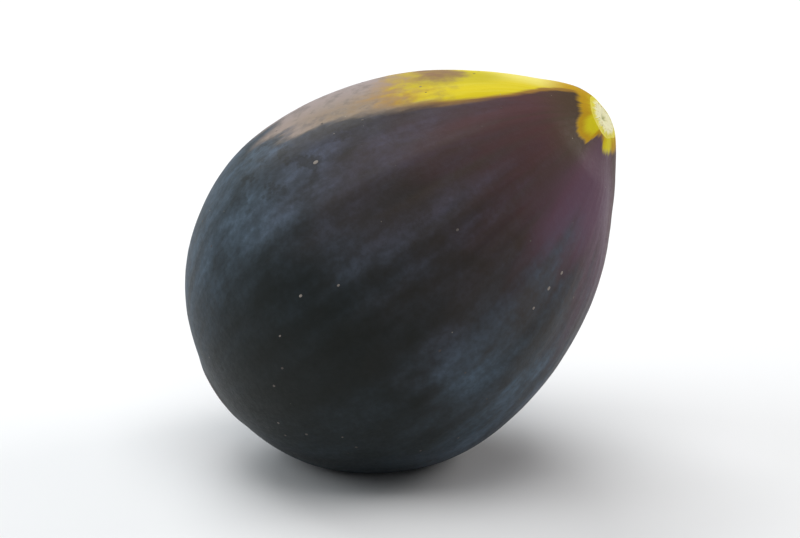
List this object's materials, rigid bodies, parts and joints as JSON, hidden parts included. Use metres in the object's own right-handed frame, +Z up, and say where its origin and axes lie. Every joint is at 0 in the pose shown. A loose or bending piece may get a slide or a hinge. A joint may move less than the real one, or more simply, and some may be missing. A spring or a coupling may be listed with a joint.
{
  "type": "fresh fig",
  "caption": "Whole fresh black fig lying on its side with the stalk end raised: ribbed bloomy skin, cut stalk, closed eye, and a flat spot it rests on.",
  "frame": {"origin": "centre of the fruit's bounding box in plan, at the surface it rests on", "axes": "+Z up, +X along the fruit's length in plan towards the stalk end, which is raised; +Y across the fruit, away from the side shown in the picture"},
  "size_m": [0.061, 0.0536, 0.0561],
  "materials": {
    "fig_skin": "dark purple skin under a matt blue-grey wax bloom, maroon towards the stalk, with one yellow streak and a yellow collar round the cut",
    "stalk_cut": "cut flesh of the stalk, cream to yellow, with raised fibre ends, satin where sap has dried",
    "eye_bracts": "small dry reddish-brown scales with paler edges, matt",
    "lenticels": "pale corky specks, matt"
  },
  "bodies": {
    "root": {"fig": "fig_skin"}
  },
  "joints": []
}
